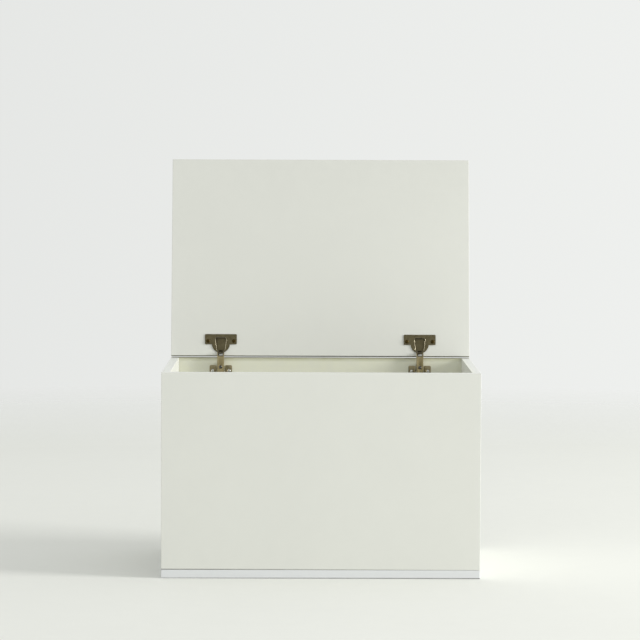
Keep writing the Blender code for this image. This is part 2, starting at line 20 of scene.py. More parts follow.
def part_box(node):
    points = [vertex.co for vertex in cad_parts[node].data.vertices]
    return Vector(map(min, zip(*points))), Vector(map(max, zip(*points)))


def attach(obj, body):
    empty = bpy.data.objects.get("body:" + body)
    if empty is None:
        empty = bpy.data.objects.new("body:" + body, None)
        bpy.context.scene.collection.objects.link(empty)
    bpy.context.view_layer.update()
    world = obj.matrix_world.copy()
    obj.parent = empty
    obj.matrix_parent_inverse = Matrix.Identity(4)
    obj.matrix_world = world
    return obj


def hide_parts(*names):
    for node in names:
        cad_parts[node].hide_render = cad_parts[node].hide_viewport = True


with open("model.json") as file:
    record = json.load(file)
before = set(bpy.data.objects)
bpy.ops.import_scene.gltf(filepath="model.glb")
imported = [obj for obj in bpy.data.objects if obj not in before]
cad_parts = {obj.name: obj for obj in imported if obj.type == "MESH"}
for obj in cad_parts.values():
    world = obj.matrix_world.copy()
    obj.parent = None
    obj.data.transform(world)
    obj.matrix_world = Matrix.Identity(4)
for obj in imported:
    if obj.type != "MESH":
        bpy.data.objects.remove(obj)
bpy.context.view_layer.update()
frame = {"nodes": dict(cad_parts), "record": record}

MM = 0.001
WELD = 0.001 * MM
nodes = frame["nodes"]

# %% [markdown]
# ## The camera
#
# The bench is looked at from far away through a long lens, which keeps the edges of
# the box nearly parallel. The camera stands 5.4 m in front, a little
# left of the middle, and looks down by 3.4 degrees. Its place and its turns are
# numbers that were fitted to the box's own edges, so they are written as they are.

# %% Place the camera
CAMERA_PLACE = Vector((-0.0294, -5.3917, 0.7966))
CAMERA_YAW, CAMERA_PITCH, CAMERA_ROLL = radians(-0.294), radians(3.408), radians(0.215)
LENS = 156.28

level_right = Vector((cos(CAMERA_YAW), sin(CAMERA_YAW), 0))
ahead = Vector((-sin(CAMERA_YAW), cos(CAMERA_YAW), 0))
down = Vector((0, 0, -1))
forward = ahead * cos(CAMERA_PITCH) + down * sin(CAMERA_PITCH)
level_up = ahead * sin(CAMERA_PITCH) - down * cos(CAMERA_PITCH)
right = level_right * cos(CAMERA_ROLL) + level_up * sin(CAMERA_ROLL)
up = level_up * cos(CAMERA_ROLL) - level_right * sin(CAMERA_ROLL)

camera_data = bpy.data.cameras.new("camera")
camera_data.lens = LENS
camera_data.sensor_width = 36
camera_data.clip_end = 100
camera = bpy.data.objects.new("camera", camera_data)
turn = Matrix((right, up, -forward)).transposed().to_4x4()
camera.matrix_world = Matrix.Translation(CAMERA_PLACE) @ turn
bpy.context.collection.objects.link(camera)
bpy.context.scene.camera = camera
print("camera field of view: %.1f degrees" % (2 * atan(18 / LENS) * 180 / pi))

# %% [markdown]
# ## Writing materials as sums
#
# A finish is a handful of patterns that are added, scaled and mixed. In the node
# editor that becomes a web of Math nodes. It is easier to read as a formula, so a
# small class wraps a socket and turns Python's operators into Math nodes. One method,
# `node`, adds any other node: its settings come first, then its sockets' values.

# %% Sockets that can be added and multiplied


class Wire:
    """A node's output socket that can stand in a formula."""

    def __init__(self, tree, socket):
        self.tree, self.socket = tree, socket

    def math(self, operation, *terms, clamp=False):
        made = self.tree.nodes.new("ShaderNodeMath")
        made.operation, made.use_clamp = operation, clamp
        for slot, term in zip(made.inputs, terms):
            if isinstance(term, Wire):
                self.tree.links.new(term.socket, slot)
            else:
                slot.default_value = term
        return Wire(self.tree, made.outputs[0])

    def __add__(self, other):
        return self.math("ADD", self, other)

    def __sub__(self, other):
        return self.math("SUBTRACT", self, other)

    def __rsub__(self, other):
        return self.math("SUBTRACT", other, self)

    def __mul__(self, other):
        return self.math("MULTIPLY", self, other)

    __radd__, __rmul__ = __add__, __mul__

    def size(self):
        return self.math("ABSOLUTE", self)

    def least(self, other):
        return self.math("MINIMUM", self, other)

    def ramp(self, low, high):
        """0 at low and 1 at high, straight between them."""
        return self.math("MULTIPLY", self - low, 1 / (high - low), clamp=True)


class Finish:
    """A material under construction, with its shader at hand."""

    def __init__(self, name, **constants):
        self.material = bpy.data.materials.new(name)
        self.material.use_nodes = True
        self.tree = self.material.node_tree
        self.shader = self.tree.nodes["Principled BSDF"]
        for socket, value in constants.items():
            self.shader.inputs[socket.replace("_", " ")].default_value = value

    def node(self, kind, settings=None, output=0, **sockets):
        """Adds a node, sets it up, then fills its sockets by name or by number."""
        made = self.tree.nodes.new(kind)
        for key, value in (settings or {}).items():
            if key == "stops":
                ramp = made.color_ramp
                while len(ramp.elements) < len(value):
                    ramp.elements.new(0.5)
                for element, (place, color) in zip(ramp.elements, value):
                    element.position, element.color = place, (*color, 1)
            else:
                setattr(made, key, value)
        for key, value in sockets.items():
            slot = made.inputs[int(key[1:]) if key[1:].isdigit() else key.replace("_", " ")]
            if isinstance(value, Wire):
                self.tree.links.new(value.socket, slot)
            else:
                slot.default_value = value
        return Wire(self.tree, made.outputs[output])

    def place(self, turned=0.0, stretch=(1, 1, 1)):
        """The object's own coordinates in metres, turned about X and stretched."""
        coordinates = self.node("ShaderNodeTexCoord", output="Object")
        turn = (turned, 0, 0)
        return self.node("ShaderNodeMapping", Vector=coordinates, Rotation=turn, Scale=stretch)

    def noise(self, place, scale, detail=2.0, roughness=0.5):
        return self.node(
            "ShaderNodeTexNoise", Vector=place, Scale=scale, Detail=detail, Roughness=roughness)

    def axes(self, vector):
        """The three parts of a vector."""
        made = self.tree.nodes.new("ShaderNodeSeparateXYZ")
        self.tree.links.new(vector.socket, made.inputs[0])
        return [Wire(self.tree, part) for part in made.outputs]

    def mix(self, factor, first, second):
        """Mixes two colours."""
        settings = {"data_type": "RGBA"}
        full = [(*c, 1) if isinstance(c, tuple) and len(c) == 3 else c for c in (first, second)]
        return self.node("ShaderNodeMix", settings, 2, _0=factor, _6=full[0], _7=full[1])

    def feed(self, **sockets):
        """Links wires to the shader's sockets."""
        for key, wire in sockets.items():
            self.tree.links.new(wire.socket, self.shader.inputs[key.replace("_", " ")])

    def bump(self, height, depth, strength=1.0):
        """Turns a height from 0 to 1 into relief of that depth in metres."""
        normal = self.node("ShaderNodeBump", Height=height, Distance=depth, Strength=strength)
        self.feed(Normal=normal)


print("a formula such as 1 - noise * 0.5 now adds its own nodes")

# %% [markdown]
# ## The boards
#
# Furniture board is chipboard under a printed, resin-soaked paper: melamine. The
# press leaves a fine pearl in it, and over a whole panel the tone drifts slightly.
# Each cut edge is covered by a thin strip of edge banding, trimmed flush, and a hair
# of glue shows as a fine line just inside the arris. The banding is a separate
# material from another roll, so the base board's is a shade cooler than the face.
# Shade and light are also painted into the colour. A dark line of painted shade runs
# in the seam over the base board, fading out to the right, and along the base board's
# lower arris where it meets the floor. The lid's hinge edge has a dark line of painted
# shade, the back board a painted shadow of the lid along its top, and the lid a faint
# painted shade that grows towards its top. The back board's inner face has a warmer
# painted shade, and the right board's inner face a painted lighter tone.
#
# A picture texture could carry this, but the line has to stay 0.2 mm wide on every
# board. Distances measured from the board's own corners do that: the material gets
# the board's lowest and highest corners, and everything else is a formula. The lid
# leans back, so its coordinates are first turned upright.

# %% A finish for one board
FACE = (0.705, 0.711, 0.668)
BANDING = (0.745, 0.755, 0.725)
COOL_BANDING = (0.702, 0.715, 0.728)
GLUE = (0.40, 0.38, 0.31)
BAND_THICKNESS = 0.5 * MM
GLUE_WIDTH = 0.10 * MM
FACE_SWING, BAND_SWING = 0.045, 0.03
RUBBED_WIDTH = 6 * MM
BOARD_ROUGHNESS = 0.40
BOARD_RELIEF = 0.02 * MM


def tones(color, swing):
    """A darker and a lighter tone of a colour."""
    return [tuple(v * (1 + way * swing) for v in color) for way in (-1, 1)]


def board_finish(name, low, high, turned=0.0, edging=BANDING, gloss=0.25, shades=()):
    """Melamine with banded edges for a board between two corners in its own axes.

    Each painted light or shade is a tint that fades out over a width from one side of
    the board, which is given by an axis and a corner. Its strength goes from one value
    at the left end to another at the right.
    """
    finish = Finish(name, IOR=1.5, Specular_IOR_Level=gloss)
    place = finish.place(turned)
    thin = min(range(3), key=lambda k: high[k] - low[k])
    parts = finish.axes(place)
    inside = None
    for k, part in enumerate(parts):
        if k != thin:
            gap = (part - low[k]).least(high[k] - part)
            inside = gap if inside is None else inside.least(gap)
    banding = 1 - inside.ramp(BAND_THICKNESS - 0.05 * MM, BAND_THICKNESS)
    glue = 1 - (inside - BAND_THICKNESS).size().ramp(0.4 * GLUE_WIDTH, GLUE_WIDTH)

    cloud = finish.noise(place, 4.0, 3.0, 0.55)
    mottle = finish.noise(place, 38.0, 4.0, 0.6)
    pearl = finish.noise(place, 1500.0, 2.0, 0.5)
    fibre = finish.noise(finish.place(turned, (1, 9, 9)), 60.0, 3.0, 0.6)
    tone = (cloud - 0.5) * 0.55 + (mottle - 0.5) * 0.30 + (pearl - 0.5) * 0.12 + 0.5

    paper = finish.mix(tone, *tones(FACE, FACE_SWING))
    strip = finish.mix(fibre, *tones(edging, BAND_SWING))
    color = finish.mix(banding, paper, strip)
    color = finish.mix(glue * (mottle.ramp(0.35, 0.6) * 0.5 + 0.5), color, GLUE)
    rubbed = (1 - inside.ramp(0, RUBBED_WIDTH)) * mottle.ramp(0.45, 0.7)
    uneven = (mottle - 0.5) * 0.10 + (pearl - 0.5) * 0.10
    rough = uneven + BOARD_ROUGHNESS + rubbed * 0.06 + glue * 0.2
    # Painted light and shade: each tint is mixed into the colour near one side of the board, and the
    # surface is made rougher there.
    for axis, end, width, tint, at_left, at_right in shades:
        near = 1 - (parts[axis] - end[axis]).size().ramp(0, width)
        strength = parts[0].ramp(low[0], high[0]) * (at_right - at_left) + at_left
        patchy = mottle.ramp(0.25, 0.6) * 0.3 + 0.7
        color = finish.mix(near * strength * patchy, color, tint)
        rough = rough + near * strength * 0.4
    finish.feed(Base_Color=color, Roughness=rough)
    finish.bump(pearl * 0.6 + mottle * 0.4 - glue * 0.8, BOARD_RELIEF, 0.35)
    return finish.material


def upright_box(mesh, turned):
    """The corners of a board after its coordinates are turned about X."""
    turn = Matrix.Rotation(turned, 3, "X")
    points = [turn @ vertex.co for vertex in mesh.vertices]
    return [[pick(p[k] for p in points) for k in range(3)] for pick in (min, max)]


print("a board finish is drawn from the board's two corners")

# %% [markdown]
# The lid's lean isn't written down here. It is the turn that makes the turned board
# thinnest, which a short search finds.

# %% Measure the lid's lean and finish every board


def thickness(mesh, turned):
    low, high = upright_box(mesh, turned)
    return high[1] - low[1]


FIRST_STRIDE, LAST_STRIDE, SHRINK = radians(8), 1e-7, 0.6

lid = nodes["lid_panel"]
lean = 0.0
stride = FIRST_STRIDE
while stride > LAST_STRIDE:
    lean = min((lean - stride, lean, lean + stride), key=lambda turn: thickness(lid.data, turn))
    stride *= SHRINK
print("the lid leans back %.2f degrees and is %.1f mm thick" % (
    lean * 180 / pi, thickness(lid.data, lean) / MM))

# Tints of painted shade and painted light for the boards, and the widths they fade over.
GAP_SHADE, LID_EDGE_SHADE = (0.050, 0.042, 0.030), (0.150, 0.150, 0.085)
LID_SHADOW_TINT, LID_TOP_SHADE = (0.36, 0.355, 0.20), (0.35, 0.355, 0.335)
WARM_SHADE_TINT, RIGHT_INNER_LIGHT = (0.765, 0.771, 0.640), (0.785, 0.793, 0.730)
INNER_SKIN = 8 * MM
LID_FADE = 400 * MM

for name, node in nodes.items():
    if name.endswith("_panel"):
        turned = lean if name == "lid_panel" else 0.0
        low, high = upright_box(node.data, turned)
        special = {
            # painted shade: a dark line along the base board's lower arris, at the floor
            "base_panel": {"edging": COOL_BANDING, "shades": [(2, low, 2.2 * MM, GAP_SHADE, 0.4, 1.0)]},
            # painted shade: a dark line in the seam over the base board, fading out to the right
            "front_panel": {"shades": [(2, low, 2.0 * MM, GAP_SHADE, 1.0, 0.0)]},
            "back_panel": {"gloss": 0.0, "shades": [
                # painted shade: a warmer tint over the back board's inner face
                (1, low, INNER_SKIN, WARM_SHADE_TINT, 1.0, 1.0),
                # painted shadow of the open lid along the top of the back board
                (2, high, 8 * MM, LID_SHADOW_TINT, 0.75, 0.75),
            ]},
            # painted light: a lighter tint over the right board's inner face
            "right_side_panel": {"shades": [(0, low, INNER_SKIN, RIGHT_INNER_LIGHT, 1.0, 1.0)]},
            "lid_panel": {"gloss": 0.0, "shades": [
                # painted shade: a dark line along the lid's hinge edge
                (2, low, 1.0 * MM, LID_EDGE_SHADE, 0.95, 0.85),
                # painted shade: a faint grey that grows towards the top of the lid
                (2, high, LID_FADE, LID_TOP_SHADE, 0.15, 0.18),
            ]},
        }.get(name, {})
        title = "melamine_" + name.replace("_panel", "")
        material = board_finish(title, low, high, turned, **special)
        for slot in node.material_slots:
            slot.material = material
        print(name, "finished,", [round((b - a) / MM, 1) for a, b in zip(low, high)], "mm")

# %% [markdown]
# ## Metal finishes
#
# The hinges are pressed from strip and then nickel plated. Such plating is a little
# yellow and dull, with a drawn grain from rolling. Each pressed part gets its own two
# tones of it: the links are darker, as painted shade where they sit deep in the slot,
# and the cup's lip is lighter than the cup, as a painted highlight along the rim. The
# lid's screws are yellow passivated: a thin brass tone that drifts to green and rose,
# and is set dark here. The machine screws have a dark zinc, the other screws and the
# bolts a bright one, and the cams are raw castings, grey and grainy.
#
# One function covers all of them, because they differ in numbers and not in kind:
# a grain stretched along one axis, a cloud that mixes two tones, and fine relief.

# %% Metals


def metal_finish(name, dark, light, rough, spread, grain=(1, 1, 1), relief=0.01 * MM):
    """Metal between two tones, with a drawn grain stretched by one factor per axis."""
    finish = Finish(name, Metallic=1.0)
    place = finish.place()
    cloud = finish.noise(place, 160.0, 3.0, 0.55)
    drawn = finish.noise(finish.place(stretch=grain), 900.0, 3.0, 0.6)
    tone = (cloud - 0.5) * 1.1 + (drawn - 0.5) * 0.9 + 0.5
    smear = finish.noise(place, 55.0, 2.0, 0.5).ramp(0.42, 0.66)
    finish.feed(
        Base_Color=finish.mix(tone, dark, light),
        Roughness=(drawn - 0.5) * spread + (smear - 0.5) * (0.8 * spread) + rough,
    )
    finish.bump(drawn, relief, 0.5)
    return finish.material


def passivated_finish(name, straw, green, rose):
    """Yellow passivated zinc: the film's thickness picks the tint."""
    finish = Finish(name, Metallic=1.0)
    place = finish.place()
    film = finish.noise(place, 420.0, 2.0, 0.5)
    grain = finish.noise(place, 2400.0, 2.0, 0.5)
    stops = [(0.30, green), (0.48, straw), (0.62, straw), (0.78, rose)]
    tint = finish.node("ShaderNodeValToRGB", {"stops": stops}, _0=film)
    finish.feed(Base_Color=tint, Roughness=(grain - 0.5) * 0.16 + 0.34)
    finish.bump(grain, 0.006 * MM, 0.5)
    return finish.material


NICKEL = metal_finish(
    "nickel_plate", (0.086, 0.072, 0.039), (0.172, 0.148, 0.085), 0.34, 0.16, (6, 1, 1))
ARM_NICKEL = metal_finish(
    "nickel_plate_arm", (0.325, 0.268, 0.146), (0.515, 0.431, 0.258), 0.36, 0.16, (6, 6, 1))
PLATE_NICKEL = metal_finish(
    "nickel_plate_base", (0.22, 0.185, 0.110), (0.38, 0.33, 0.21), 0.36, 0.16, (1, 1, 6))
# The links' nickel is darker than the other hinge parts: painted shade in the slot.
SHADED_LINK_NICKEL = metal_finish(
    "nickel_plate_link", (0.085, 0.072, 0.045), (0.17, 0.15, 0.10), 0.34, 0.14, (1, 5, 5))
# The lip's nickel is lighter than the cup's: a painted highlight along the rim, added to the light its
# round shape catches.
LIT_LIP_NICKEL = metal_finish(
    "nickel_plate_lip", (0.20, 0.175, 0.12), (0.34, 0.31, 0.23), 0.30, 0.14, (1, 5, 5))
BRIGHT_ZINC = metal_finish("bright_zinc", (0.40, 0.41, 0.42), (0.62, 0.63, 0.64), 0.28, 0.14)
CAM_ZINC = metal_finish(
    "cast_zinc", (0.26, 0.26, 0.25), (0.46, 0.46, 0.45), 0.50, 0.18, relief=0.03 * MM)
DARK_ZINC = metal_finish("dark_zinc", (0.085, 0.082, 0.075), (0.20, 0.19, 0.17), 0.20, 0.12)
SCREW_ZINC = metal_finish("screw_zinc", (0.46, 0.46, 0.44), (0.74, 0.74, 0.71), 0.24, 0.14)
YELLOW_ZINC = passivated_finish(
    "yellow_zinc",
    straw=(0.065, 0.044, 0.013), green=(0.045, 0.042, 0.015), rose=(0.070, 0.030, 0.018))
metals = [made.name for made in bpy.data.materials if "zinc" in made.name or "nickel" in made.name]
print("metals:", metals)

# %% [markdown]
# ## Pressed steel: softened copies of the hinge parts
#
# A press rounds the upper edge of everything it cuts, and those rounds are what
# catch the light on a hinge. The measured parts have crisp edges, so each one is
# copied, its loose triangles are merged into faces, and a Bevel modifier rounds the
# edges. A copy stands in for its part, which stays behind for collision.

# %% Softened copies
FLAT_WITHIN = radians(1.0)
BEVEL_FROM = radians(35)


def merged_copy(name):
    """The part's mesh as one connected skin with its flat faces joined."""
    bm = bmesh.new()
    bm.from_mesh(nodes[name].data)
    bmesh.ops.remove_doubles(bm, verts=bm.verts, dist=WELD)
    bmesh.ops.dissolve_limit(bm, angle_limit=FLAT_WITHIN, verts=bm.verts, edges=bm.edges)
    mesh = bpy.data.meshes.new(name + "_skin")
    bm.to_mesh(mesh)
    bm.free()
    return mesh


def softened(name, body, material, radius):
    """A copy of a pressed part with rounded edges and smooth shading."""
    piece = bpy.data.objects.new(name + "_pressed", merged_copy(name))
    bpy.context.collection.objects.link(piece)
    piece.data.materials.clear()
    piece.data.materials.append(material)
    bevel = piece.modifiers.new("edges", "BEVEL")
    bevel.width, bevel.segments = radius, 3
    bevel.limit_method, bevel.angle_limit = "ANGLE", BEVEL_FROM
    bevel.harden_normals = True
    for polygon in piece.data.polygons:
        polygon.use_smooth = True
    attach(piece, body)
    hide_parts(name)
    return piece


def body_of_node(name):
    """The name of the moving body, or of the fixed one, that the part belongs to."""
    held = frame["record"]["behaviour"]["bodies"]
    return next((body for body, names in held.items() if name in names), "box")


for side in ("left", "right"):
    for name, material, radius in (
        ("cup_" + side, NICKEL, 0.30 * MM),
        ("arm_" + side, ARM_NICKEL, 0.35 * MM),
        ("mounting_plate_" + side, PLATE_NICKEL, 0.30 * MM),
        ("outer_link_" + side, SHADED_LINK_NICKEL, 0.18 * MM),
        ("inner_link_" + side, SHADED_LINK_NICKEL, 0.15 * MM),
    ):
        piece = softened(name, body_of_node(name), material, radius)
        print(piece.name, "faces:", len(piece.data.polygons))

# %% [markdown]
# ## The rolled lip of the cup
#
# The cup's opening isn't a bare cut: the press rolls its rim into a small rounded
# lip, and that lip draws the bright outline round the opening. The rim is already in
# the measured cup, as the edges between its front face and the walls of the opening.
# So the script finds those edges, and a Geometry Nodes tree runs a round profile
# along them, which is what Curve to Mesh is for.

# %% A helper that applies a tree of geometry nodes


def tree_with(name, *inputs):
    """An empty node tree with a mesh input, named inputs and a mesh output."""
    tree = bpy.data.node_groups.new(name, "GeometryNodeTree")
    tree.interface.new_socket("Mesh", in_out="INPUT", socket_type="NodeSocketGeometry")
    for label, kind in inputs:
        tree.interface.new_socket(label, in_out="INPUT", socket_type=kind)
    tree.interface.new_socket("Mesh", in_out="OUTPUT", socket_type="NodeSocketGeometry")
    return tree, tree.nodes.new("NodeGroupInput"), tree.nodes.new("NodeGroupOutput")


def step(tree, kind, settings=None, **sockets):
    """Adds a geometry node; a socket takes a value, or another socket to link to."""
    made = tree.nodes.new(kind)
    for key, value in (settings or {}).items():
        setattr(made, key, value)
    for key, value in sockets.items():
        slot = made.inputs[int(key[1:]) if key[1:].isdigit() else key.replace("_", " ")]
        if isinstance(value, bpy.types.NodeSocket):
            tree.links.new(value, slot)
        else:
            slot.default_value = value
    return made


def grown(name, mesh, tree, body, slot, replaced, **values):
    """Runs the tree on a mesh and keeps the result as a plain piece on a body."""
    seed = bpy.data.objects.new(name + "_seed", mesh)
    bpy.context.collection.objects.link(seed)
    modifier = seed.modifiers.new("tree", "NODES")
    modifier.node_group = tree
    for item in tree.interface.items_tree:
        if item.in_out == "INPUT" and item.name.replace(" ", "_") in values:
            modifier[item.identifier] = values[item.name.replace(" ", "_")]
    depsgraph = bpy.context.evaluated_depsgraph_get()
    result = bpy.data.meshes.new_from_object(seed.evaluated_get(depsgraph))
    bpy.data.objects.remove(seed, do_unlink=True)
    result.name = name
    result.materials.clear()
    result.materials.append(values["Finish"])
    result.polygons.foreach_set("material_index", [0] * len(result.polygons))
    piece = bpy.data.objects.new(name, result)
    bpy.context.collection.objects.link(piece)
    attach(piece, body)
    if replaced:
        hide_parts(*replaced)
    print(name, "on", body + ":", len(result.polygons), "faces of", values["Finish"].name)
    return piece


print("trees of geometry nodes can now be written as calls")

# %% Find the rim of the opening and run a lip along it
LIP_RADIUS = 0.55 * MM
OPENING_HALF_WIDTH = 13 * MM
ON_FRONT = 0.02 * MM


def rim_edges(name, facing):
    """A mesh of the edges between the cup's front face and the walls of its opening."""
    mesh = merged_copy(name)
    bm = bmesh.new()
    bm.from_mesh(mesh)
    bm.normal_update()
    front = max(vertex.co.dot(facing) for vertex in bm.verts)
    low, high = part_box(name)
    middle = (low + high) / 2
    kept = []
    for edge in bm.edges:
        if len(edge.link_faces) != 2:
            continue
        if any(abs(v.co.dot(facing) - front) > ON_FRONT for v in edge.verts):
            continue
        across = [abs(face.normal.dot(facing)) for face in edge.link_faces]
        if min(across) > 0.3 or max(across) < 0.9:
            continue
        wall = edge.link_faces[across.index(min(across))]
        centre = (edge.verts[0].co + edge.verts[1].co) / 2
        if wall.normal.dot(centre - middle) < 0 and abs(centre.x - middle.x) < OPENING_HALF_WIDTH:
            kept.append(edge)
    order, pairs = {}, []
    for edge in kept:
        pairs.append([order.setdefault(v.index, len(order)) for v in edge.verts])
    bm.verts.ensure_lookup_table()
    places = [bm.verts[index].co.copy() for index in order]
    bm.free()
    path = bpy.data.meshes.new(name + "_rim")
    path.from_pydata(places, pairs, [])
    return path


lip_tree, entry, leave = tree_with(
    "rolled_lip", ("Radius", "NodeSocketFloat"), ("Finish", "NodeSocketMaterial"))
path = step(lip_tree, "GeometryNodeMeshToCurve", Mesh=entry.outputs["Mesh"])
profile = step(
    lip_tree, "GeometryNodeCurvePrimitiveCircle", Resolution=10, Radius=entry.outputs["Radius"])
swept = step(
    lip_tree, "GeometryNodeCurveToMesh", Curve=path.outputs[0], Profile_Curve=profile.outputs[0],
    Fill_Caps=True)
smooth = step(lip_tree, "GeometryNodeSetShadeSmooth", Geometry=swept.outputs[0])
real = step(lip_tree, "GeometryNodeRealizeInstances", Geometry=smooth.outputs[0])
coated = step(
    lip_tree, "GeometryNodeSetMaterial", Geometry=real.outputs[0], Material=entry.outputs["Finish"])
lip_tree.links.new(coated.outputs[0], leave.inputs[0])

out_of_lid = Vector((0, -cos(lean), sin(lean)))
for side in ("left", "right"):
    rim = rim_edges("cup_" + side, out_of_lid)
    print("rim of the", side, "cup:", len(rim.edges), "edges")
    grown("cup_lip_" + side, rim, lip_tree, "lid", "nickel_plated_steel", (),
          Radius=LIP_RADIUS, Finish=LIT_LIP_NICKEL)

# %% [markdown]
# ## Screws
#
# Every screw here is the same idea at another size: a turned body and a cross recess
# punched into its head. One Geometry Nodes tree makes the screw from named sizes. A
# grid bent round an axis gives the turned body, a Mesh Boolean takes the cross out
# of the head, and Instance on Points sets a copy on every place in a list.
# Each point carries its own turn, because no two screws stop at the same angle.
#
# The frame already holds a plain stand-in for every screw. Its mesh gives the place
# of the head and its size, so nothing is measured twice.

# %% Measure the screws


def screw_of(name, out):
    """Seat of the head, and the head's radius, height and length below, along out."""
    points = [vertex.co for vertex in nodes[name].data.vertices]
    along = [p.dot(out) for p in points]
    middle = sum(points, Vector()) / len(points)
    axis_point = middle - out * middle.dot(out)
    reach = [(p - out * p.dot(out) - axis_point).length for p in points]
    head = max(reach)
    seat = min(a for a, r in zip(along, reach) if r > 0.97 * head)
    shank = max(r for a, r in zip(along, reach) if a < seat - 0.5 * MM)
    return {"seat": axis_point + out * seat, "head": head, "height": max(along) - seat,
            "shank": shank, "length": seat - min(along)}


forward_out, down_out = Vector((0, -1, 0)), Vector((0, 0, -1))
for name, out in (("cup_screw_left_1", out_of_lid), ("plate_screw_left_1", forward_out),
                  ("side_screw_left", forward_out), ("base_screw_1", down_out)):
    found = screw_of(name, out)
    print(name, {key: round(value / MM, 2) for key, value in found.items() if key != "seat"})

# %% [markdown]
# A turned body inside a node tree: a grid is bent round. Its rows take a radius and a
# height from the profile, its columns take an angle, and merging by distance closes
# the seam and the two poles. The same few nodes then serve the screws and the cams.

# %% A turned body from a grid
COLUMNS = 24
CRISP_FROM = radians(32)


def figure(tree, operation, first, second=0.0):
    return step(tree, "ShaderNodeMath", {"operation": operation}, _0=first, _1=second).outputs[0]


def turned_body(tree, profile):
    """Turns (radius, height) points, from the lower pole to the upper one, about Z."""
    grid = step(tree, "GeometryNodeMeshGrid", Vertices_X=len(profile), Vertices_Y=COLUMNS + 1)
    index = step(tree, "GeometryNodeInputIndex").outputs[0]
    row = figure(tree, "FLOOR", figure(tree, "DIVIDE", figure(tree, "ADD", index, 0.5), COLUMNS + 1.0))
    column = figure(tree, "SUBTRACT", index, figure(tree, "MULTIPLY", row, COLUMNS + 1.0))
    angle = figure(tree, "MULTIPLY", column, 2 * pi / COLUMNS)
    chosen = []
    for part in (0, 1):
        switch = step(tree, "GeometryNodeIndexSwitch", {"data_type": "FLOAT"})
        while len(switch.index_switch_items) < len(profile):
            switch.index_switch_items.new()
        tree.links.new(row, switch.inputs["Index"])
        for k, point in enumerate(profile):
            if isinstance(point[part], bpy.types.NodeSocket):
                tree.links.new(point[part], switch.inputs[k + 1])
            else:
                switch.inputs[k + 1].default_value = point[part]
        chosen.append(switch.outputs[0])
    radius, height = chosen
    x = figure(tree, "MULTIPLY", radius, figure(tree, "COSINE", angle))
    y = figure(tree, "MULTIPLY", radius, figure(tree, "SINE", angle))
    spot = step(tree, "ShaderNodeCombineXYZ", _0=x, _1=y, _2=height)
    bent = step(tree, "GeometryNodeSetPosition", Geometry=grid.outputs[0], Position=spot.outputs[0])
    closed = step(tree, "GeometryNodeMergeByDistance", Geometry=bent.outputs[0], Distance=WELD)
    return closed.outputs[0]


def bar(tree, along, wide, deep, at_height):
    """A bar across the axis: a cutter for one arm of a cross."""
    size = step(tree, "ShaderNodeCombineXYZ", _0=along, _1=wide, _2=deep).outputs[0]
    cube = step(tree, "GeometryNodeMeshCube", Size=size)
    at = step(tree, "ShaderNodeCombineXYZ", _2=at_height).outputs[0]
    return step(tree, "GeometryNodeTransform", Geometry=cube.outputs["Mesh"], Translation=at).outputs[0]


def cut(tree, body, cutters):
    made = step(tree, "GeometryNodeMeshBoolean", {"operation": "DIFFERENCE", "solver": "EXACT"}, _0=body)
    for cutter in cutters:
        tree.links.new(cutter, made.inputs["Mesh 2"])
    return made.outputs["Mesh"]


def set_out(tree, entry, leave, geometry):
    """Shades the body, sets it on every point with the point's own turn, and coats it."""
    angle = step(tree, "GeometryNodeInputMeshEdgeAngle").outputs[0]
    sharp = step(tree, "FunctionNodeCompare", {"operation": "GREATER_THAN"}, _0=angle, _1=CRISP_FROM)
    crisp = step(tree, "GeometryNodeSetShadeSmooth", {"domain": "EDGE"}, Geometry=geometry,
                 Selection=sharp.outputs[0], Shade_Smooth=False)
    smooth = step(tree, "GeometryNodeSetShadeSmooth", {"domain": "FACE"}, Geometry=crisp.outputs[0])
    turn = step(tree, "GeometryNodeInputNamedAttribute", {"data_type": "FLOAT_VECTOR"}, Name="turn")
    copies = step(tree, "GeometryNodeInstanceOnPoints", Points=entry.outputs["Mesh"],
                  Instance=smooth.outputs[0], Rotation=turn.outputs[0])
    real = step(tree, "GeometryNodeRealizeInstances", Geometry=copies.outputs[0])
    coated = step(
        tree, "GeometryNodeSetMaterial", Geometry=real.outputs[0], Material=entry.outputs["Finish"])
    tree.links.new(coated.outputs[0], leave.inputs[0])


def points_with_turns(name, places):
    """A mesh of loose points, each with the turn of the copy that it will carry."""
    mesh = bpy.data.meshes.new(name)
    mesh.from_pydata([place for place, turn in places], [], [])
    turns = mesh.attributes.new("turn", "FLOAT_VECTOR", "POINT")
    for item, (place, turn) in zip(turns.data, places):
        item.vector = turn.to_euler()
    return mesh


print("a turned body has", COLUMNS, "columns")

# %% The screw tree
SIZES = ("Head Radius", "Head Height", "Shank Radius", "Length", "Edge", "Cross Width", "Cross Depth")
screw_tree, entry, leave = tree_with(
    "cross_head_screw", *[(label, "NodeSocketFloat") for label in SIZES], ("Finish", "NodeSocketMaterial"))
head, height, shank, length, edge, cross_width, cross_depth = [
    entry.outputs[label] for label in SIZES]
tip = figure(screw_tree, "MULTIPLY", length, -1.0)
shoulder = figure(screw_tree, "ADD", tip, figure(screw_tree, "MULTIPLY", shank, 2.0))
dome_height = figure(screw_tree, "SUBTRACT", height, edge)
dome = []
for share, rise in ((0.97, 0.30), (0.88, 0.62), (0.72, 0.86), (0.45, 0.98)):
    risen = figure(screw_tree, "MULTIPLY", dome_height, rise)
    dome.append((figure(screw_tree, "MULTIPLY", head, share), figure(screw_tree, "ADD", edge, risen)))
screw_body = turned_body(screw_tree, [
    (0.0, tip), (figure(screw_tree, "MULTIPLY", shank, 0.4), tip), (shank, shoulder), (shank, 0.0),
    (head, 0.0), (head, edge), *dome, (0.0, height)])
arm_length = figure(screw_tree, "MULTIPLY", head, 1.15)
deep = figure(screw_tree, "MULTIPLY", cross_depth, 2.0)
